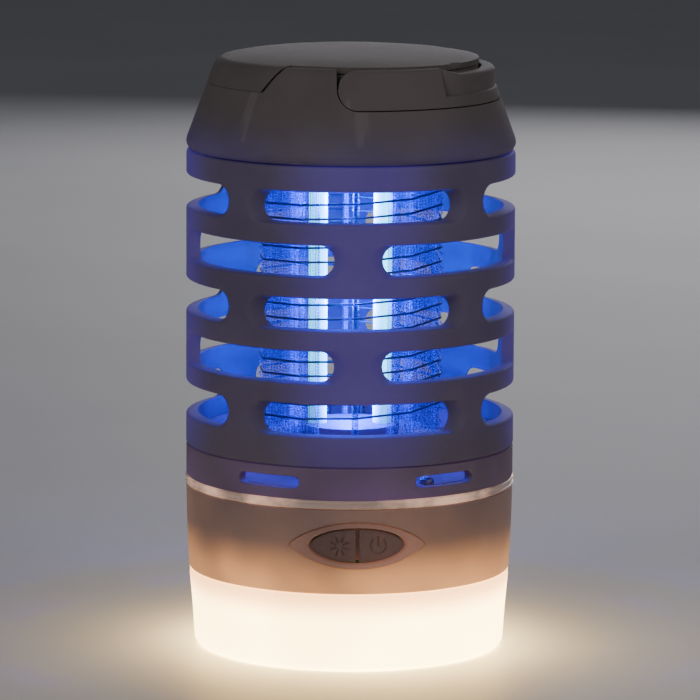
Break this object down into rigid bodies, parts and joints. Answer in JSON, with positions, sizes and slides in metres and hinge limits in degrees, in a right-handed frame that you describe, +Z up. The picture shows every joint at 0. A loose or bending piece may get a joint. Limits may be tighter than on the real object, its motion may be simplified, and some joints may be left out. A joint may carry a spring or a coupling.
{
  "type": "electric bug zapper",
  "caption": "Cylindrical lantern-type electric bug zapper: slotted cage round a blue lamp and wire grid, glowing base light, front buttons and a swinging carry handle.",
  "frame": {"origin": "centre of the face it stands on", "axes": "+Z up along the cylinder, front with the buttons towards -Y, folded handle towards +X"},
  "size_m": [0.0882, 0.0882, 0.161],
  "materials": {
    "housing": "matte warm taupe moulding",
    "body_shell": "slightly translucent matte taupe moulding",
    "button_plastic": "matte keys",
    "diffuser_white": "frosted warm white, lit from inside",
    "clear_ring": "clear moulded ring",
    "clear_frame": "clear moulded comb frame",
    "guard_tube": "clear tube",
    "lamp_glow": "glowing violet-blue tube",
    "grid_wire": "bare steel wire",
    "steel": "plated steel",
    "brass": "plain brass posts",
    "insulator": "white insulating plastic",
    "deck": "matte moulding",
    "seal_rubber": "black rubber",
    "soft_rubber": "soft taupe rubber",
    "membrane": "pale silicone",
    "board": "green circuit board",
    "led_white": "white circuit board",
    "cell_wrap": "blue shrink wrap",
    "black_plastic": "black plastic"
  },
  "bodies": {
    "base": {"battery_cell_1": "cell_wrap", "battery_cell_2": "cell_wrap", "battery_contact_left": "steel", "battery_contact_right": "steel", "battery_tray": "black_plastic", "button_bezel": "housing", "button_membrane": "membrane", "chamber_floor": "deck", "collar": "housing", "control_board": "board", "deck_screw_1": "steel", "deck_screw_2": "steel", "deck_screw_3": "steel", "diffuser": "diffuser_white", "grid_frame": "clear_frame", "hv_module": "black_plastic", "lamp_base": "insulator", "lamp_guard": "guard_tube", "lamp_tube": "lamp_glow", "led_board": "led_white", "light_ring": "clear_ring", "lower_body": "body_shell", "reflector": "insulator", "seal_ring": "seal_rubber", "switch_light": "black_plastic", "switch_power": "black_plastic", "terminal_live": "brass", "terminal_return": "brass", "upper_insulator": "insulator", "usb_socket": "steel", "wire_live": "grid_wire", "wire_return": "grid_wire"},
    "head": {"cage": "housing", "cage_screw_1": "steel", "cage_screw_2": "steel", "cage_screw_3": "steel", "shoulder": "housing", "top_plate": "housing", "handle_pin_front": "steel", "handle_pin_rear": "steel"},
    "handle": {"carry_handle": "housing"},
    "light_key": {"light_button": "button_plastic"},
    "power_key": {"power_button": "button_plastic"},
    "port_flap": {"port_cover": "soft_rubber"}
  },
  "joints": [
    {"name": "head_lift", "type": "slide", "parent": "base", "child": "head", "axis": [0, 0, 1], "range_m": [0, 0.085]},
    {"name": "handle_swing", "type": "hinge", "parent": "head", "child": "handle", "pos_m": [0, 0, 0.1537], "axis": [0, -1, 0], "range_deg": [0, 90]},
    {"name": "light_button_press", "type": "slide", "parent": "base", "child": "light_key", "axis": [0.1478, 0.989, 0], "range_m": [0, 0.0008], "stiffness_N_per_m": 1000, "springref_m": -0.0003},
    {"name": "power_button_press", "type": "slide", "parent": "base", "child": "power_key", "axis": [-0.1478, 0.989, 0], "range_m": [0, 0.0008], "stiffness_N_per_m": 1000, "springref_m": -0.0003},
    {"name": "port_cover_hinge", "type": "hinge", "parent": "base", "child": "port_flap", "pos_m": [0, 0.04235, 0.03705], "axis": [1, 0, 0], "range_deg": [0, 90]}
  ]
}
